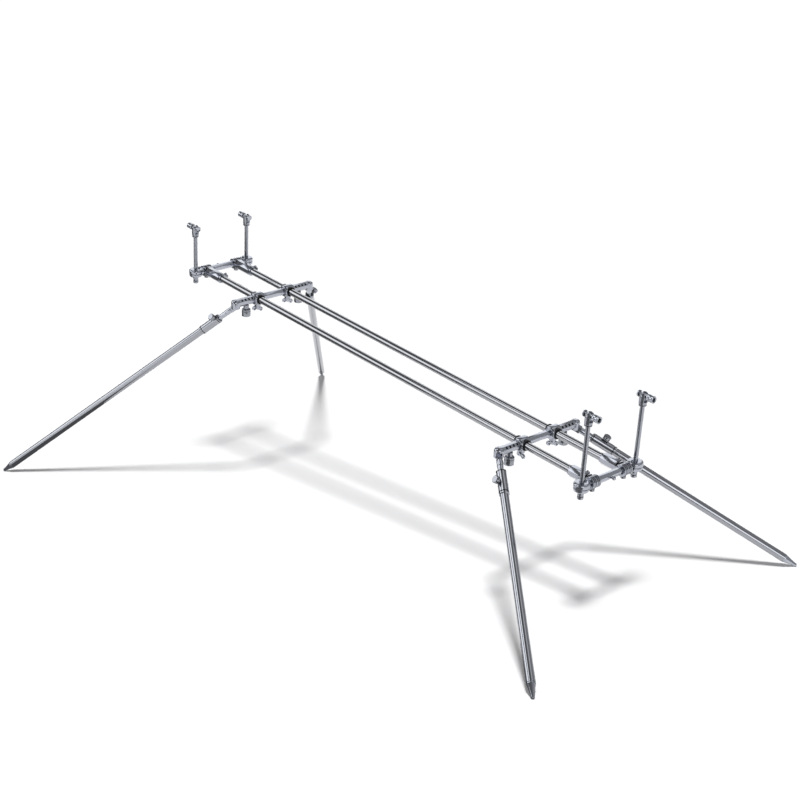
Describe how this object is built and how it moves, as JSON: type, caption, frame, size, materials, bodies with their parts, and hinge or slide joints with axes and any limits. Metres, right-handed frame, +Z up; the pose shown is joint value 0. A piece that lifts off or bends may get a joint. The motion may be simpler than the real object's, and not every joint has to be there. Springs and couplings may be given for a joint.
{
  "type": "rod pod",
  "caption": "Twin bar rod pod with buzz bars, sliding posts and tilting threaded heads at both ends, sliding crossbars and folding telescopic spiked legs",
  "frame": {"origin": "on the floor, in the middle of the box", "axes": "+X runs from the front (long legs) to the rear along the main bars, +Y to the right hand side, +Z up"},
  "size_m": [1.683, 0.966, 0.5717],
  "materials": {
    "tube_steel": "drawn stainless tube, mirror polished",
    "machined_steel": "machined and polished stainless steel",
    "fastener_steel": "turned stainless steel, satin",
    "liner_plastic": "black moulded bush"
  },
  "bodies": {
    "frame": {"main_bar_left": "tube_steel", "main_bar_right": "tube_steel", "sleeve_front_left": "machined_steel", "sleeve_front_right": "machined_steel", "sleeve_rear_left": "machined_steel", "sleeve_rear_right": "machined_steel", "buzz_bar_front": "machined_steel", "buzz_bar_rear": "machined_steel", "clamp_bolts": "fastener_steel", "buzz_bar_studs": "machined_steel"},
    "tee_knob_front_left": {"tee_knob_front_left": "fastener_steel"},
    "tee_knob_front_right": {"tee_knob_front_right": "fastener_steel"},
    "tee_knob_rear_left": {"tee_knob_rear_left": "fastener_steel"},
    "tee_knob_rear_right": {"tee_knob_rear_right": "fastener_steel"},
    "post_front_left": {"post_front_left": "tube_steel"},
    "post_front_right": {"post_front_right": "tube_steel"},
    "post_rear_left": {"post_rear_left": "tube_steel"},
    "post_rear_right": {"post_rear_right": "tube_steel"},
    "head_front_left": {"head_front_left": "machined_steel"},
    "head_front_right": {"head_front_right": "machined_steel"},
    "head_rear_left": {"head_rear_left": "machined_steel"},
    "head_rear_right": {"head_rear_right": "machined_steel"},
    "cross_front": {"crossbar_front": "machined_steel", "saddle_front_left": "machined_steel", "saddle_front_right": "machined_steel", "saddle_liners_front": "liner_plastic", "hinge_block_front_left": "machined_steel", "hinge_block_front_right": "machined_steel", "hinge_pins_front": "fastener_steel"},
    "cross_rear": {"crossbar_rear": "machined_steel", "saddle_rear_left": "machined_steel", "saddle_rear_right": "machined_steel", "saddle_liners_rear": "liner_plastic", "hinge_block_rear_left": "machined_steel", "hinge_block_rear_right": "machined_steel", "hinge_pins_rear": "fastener_steel"},
    "lock_knob_front_left": {"lock_knob_front_left": "fastener_steel"},
    "lock_knob_front_right": {"lock_knob_front_right": "fastener_steel"},
    "lock_knob_rear_left": {"lock_knob_rear_left": "fastener_steel"},
    "lock_knob_rear_right": {"lock_knob_rear_right": "fastener_steel"},
    "saddle_screw_front_left": {"saddle_screw_front_left": "machined_steel"},
    "saddle_screw_front_right": {"saddle_screw_front_right": "machined_steel"},
    "saddle_screw_rear_left": {"saddle_screw_rear_left": "machined_steel"},
    "saddle_screw_rear_right": {"saddle_screw_rear_right": "machined_steel"},
    "leg_arm_front_left": {"leg_arm_front_left": "machined_steel"},
    "leg_arm_front_right": {"leg_arm_front_right": "machined_steel"},
    "leg_arm_rear_left": {"leg_arm_rear_left": "machined_steel"},
    "leg_arm_rear_right": {"leg_arm_rear_right": "machined_steel"},
    "leg_tube_front_left": {"leg_tube_front_left": "tube_steel", "spike_front_left": "machined_steel"},
    "leg_tube_front_right": {"leg_tube_front_right": "tube_steel", "spike_front_right": "machined_steel"},
    "leg_tube_rear_left": {"leg_tube_rear_left": "tube_steel", "spike_rear_left": "machined_steel"},
    "leg_tube_rear_right": {"leg_tube_rear_right": "tube_steel", "spike_rear_right": "machined_steel"},
    "leg_screw_front_left": {"leg_screw_front_left": "machined_steel"},
    "leg_screw_front_right": {"leg_screw_front_right": "machined_steel"},
    "leg_screw_rear_left": {"leg_screw_rear_left": "machined_steel"},
    "leg_screw_rear_right": {"leg_screw_rear_right": "machined_steel"}
  },
  "joints": [
    {"name": "tee_knob_front_left_turn", "type": "hinge", "parent": "frame", "child": "tee_knob_front_left", "pos_m": [-0.55044, -0.042, 0.44126], "axis": [0.1582, 0, 0.9874], "continuous": true},
    {"name": "tee_knob_front_right_turn", "type": "hinge", "parent": "frame", "child": "tee_knob_front_right", "pos_m": [-0.55044, 0.042, 0.44126], "axis": [0.1582, 0, 0.9874], "continuous": true},
    {"name": "tee_knob_rear_left_turn", "type": "hinge", "parent": "frame", "child": "tee_knob_rear_left", "pos_m": [0.68087, -0.042, 0.24404], "axis": [0.1582, 0, 0.9874], "continuous": true},
    {"name": "tee_knob_rear_right_turn", "type": "hinge", "parent": "frame", "child": "tee_knob_rear_right", "pos_m": [0.68087, 0.042, 0.24404], "axis": [0.1582, 0, 0.9874], "continuous": true},
    {"name": "post_front_left_height", "type": "slide", "parent": "frame", "child": "post_front_left", "axis": [0.1582, 0, 0.9874], "range_m": [-0.06, 0]},
    {"name": "post_front_right_height", "type": "slide", "parent": "frame", "child": "post_front_right", "axis": [0.1582, 0, 0.9874], "range_m": [-0.06, 0]},
    {"name": "post_rear_left_height", "type": "slide", "parent": "frame", "child": "post_rear_left", "axis": [0.1582, 0, 0.9874], "range_m": [-0.09, 0]},
    {"name": "post_rear_right_height", "type": "slide", "parent": "frame", "child": "post_rear_right", "axis": [0.1582, 0, 0.9874], "range_m": [-0.09, 0]},
    {"name": "head_front_left_tilt", "type": "hinge", "parent": "post_front_left", "child": "head_front_left", "pos_m": [-0.5313, -0.0715, 0.56074], "axis": [0, 1, 0], "range_deg": [-20, 20]},
    {"name": "head_front_right_tilt", "type": "hinge", "parent": "post_front_right", "child": "head_front_right", "pos_m": [-0.5313, 0.0715, 0.56074], "axis": [0, 1, 0], "range_deg": [-20, 20]},
    {"name": "head_rear_left_tilt", "type": "hinge", "parent": "post_rear_left", "child": "head_rear_left", "pos_m": [0.70554, -0.0715, 0.39808], "axis": [0, -1, 0], "range_deg": [-20, 20]},
    {"name": "head_rear_right_tilt", "type": "hinge", "parent": "post_rear_right", "child": "head_rear_right", "pos_m": [0.70554, 0.0715, 0.39808], "axis": [0, -1, 0], "range_deg": [-20, 20]},
    {"name": "cross_front_slide", "type": "slide", "parent": "frame", "child": "cross_front", "axis": [0.9874, 0, -0.1582], "range_m": [-0.1, 0.15]},
    {"name": "cross_rear_slide", "type": "slide", "parent": "frame", "child": "cross_rear", "axis": [0.9874, 0, -0.1582], "range_m": [-0.15, 0.1]},
    {"name": "lock_knob_front_left_turn", "type": "hinge", "parent": "cross_front", "child": "lock_knob_front_left", "pos_m": [-0.34899, -0.073, 0.40596], "axis": [0.1582, 0, 0.9874], "continuous": true},
    {"name": "lock_knob_front_right_turn", "type": "hinge", "parent": "cross_front", "child": "lock_knob_front_right", "pos_m": [-0.34899, 0.073, 0.40596], "axis": [0.1582, 0, 0.9874], "continuous": true},
    {"name": "lock_knob_rear_left_turn", "type": "hinge", "parent": "cross_rear", "child": "lock_knob_rear_left", "pos_m": [0.49772, -0.073, 0.27034], "axis": [0.1582, 0, 0.9874], "continuous": true},
    {"name": "lock_knob_rear_right_turn", "type": "hinge", "parent": "cross_rear", "child": "lock_knob_rear_right", "pos_m": [0.49772, 0.073, 0.27034], "axis": [0.1582, 0, 0.9874], "continuous": true},
    {"name": "saddle_screw_front_left_turn", "type": "hinge", "parent": "cross_front", "child": "saddle_screw_front_left", "pos_m": [-0.34978, -0.042, 0.40102], "axis": [0.1582, 0, 0.9874], "continuous": true},
    {"name": "saddle_screw_front_right_turn", "type": "hinge", "parent": "cross_front", "child": "saddle_screw_front_right", "pos_m": [-0.34978, 0.042, 0.40102], "axis": [0.1582, 0, 0.9874], "continuous": true},
    {"name": "saddle_screw_rear_left_turn", "type": "hinge", "parent": "cross_rear", "child": "saddle_screw_rear_left", "pos_m": [0.49693, -0.042, 0.2654], "axis": [0.1582, 0, 0.9874], "continuous": true},
    {"name": "saddle_screw_rear_right_turn", "type": "hinge", "parent": "cross_rear", "child": "saddle_screw_rear_right", "pos_m": [0.49693, 0.042, 0.2654], "axis": [0.1582, 0, 0.9874], "continuous": true},
    {"name": "leg_front_left_fold", "type": "hinge", "parent": "cross_front", "child": "leg_arm_front_left", "pos_m": [-0.34772, -0.102, 0.41386], "axis": [0.6607, -0.7431, -0.1058], "range_deg": [-34, 44]},
    {"name": "leg_front_right_fold", "type": "hinge", "parent": "cross_front", "child": "leg_arm_front_right", "pos_m": [-0.34772, 0.102, 0.41386], "axis": [-0.6607, -0.7431, 0.1058], "range_deg": [-34, 44]},
    {"name": "leg_rear_left_fold", "type": "hinge", "parent": "cross_rear", "child": "leg_arm_rear_left", "pos_m": [0.49899, -0.102, 0.27824], "axis": [0.5522, 0.829, -0.0884], "range_deg": [-20, 58]},
    {"name": "leg_rear_right_fold", "type": "hinge", "parent": "cross_rear", "child": "leg_arm_rear_right", "pos_m": [0.49899, 0.102, 0.27824], "axis": [-0.5522, 0.829, 0.0884], "range_deg": [-20, 58]},
    {"name": "leg_front_left_length", "type": "slide", "parent": "leg_arm_front_left", "child": "leg_tube_front_left", "axis": [-0.6604, -0.5084, -0.5527], "range_m": [-0.018, 0.2]},
    {"name": "leg_front_right_length", "type": "slide", "parent": "leg_arm_front_right", "child": "leg_tube_front_right", "axis": [-0.6604, 0.5084, -0.5527], "range_m": [-0.018, 0.2]},
    {"name": "leg_rear_left_length", "type": "slide", "parent": "leg_arm_rear_left", "child": "leg_tube_rear_left", "axis": [0.6707, -0.5047, -0.5435], "range_m": [-0.009, 0.12]},
    {"name": "leg_rear_right_length", "type": "slide", "parent": "leg_arm_rear_right", "child": "leg_tube_rear_right", "axis": [0.6707, 0.5047, -0.5435], "range_m": [-0.009, 0.12]},
    {"name": "leg_screw_front_left_turn", "type": "hinge", "parent": "leg_tube_front_left", "child": "leg_screw_front_left", "pos_m": [-0.38398, -0.13978, 0.3888], "axis": [0.1255, -0.8003, 0.5863], "continuous": true},
    {"name": "leg_screw_front_right_turn", "type": "hinge", "parent": "leg_tube_front_right", "child": "leg_screw_front_right", "pos_m": [-0.38398, 0.13978, 0.3888], "axis": [0.1255, 0.8003, 0.5863], "continuous": true},
    {"name": "leg_screw_rear_left_turn", "type": "hinge", "parent": "leg_tube_rear_left", "child": "leg_screw_rear_left", "pos_m": [0.54048, -0.14312, 0.24987], "axis": [-0.1302, -0.8015, 0.5836], "continuous": true},
    {"name": "leg_screw_rear_right_turn", "type": "hinge", "parent": "leg_tube_rear_right", "child": "leg_screw_rear_right", "pos_m": [0.54736, 0.13695, 0.25263], "axis": [0.4952, 0.2408, 0.8347], "continuous": true}
  ]
}
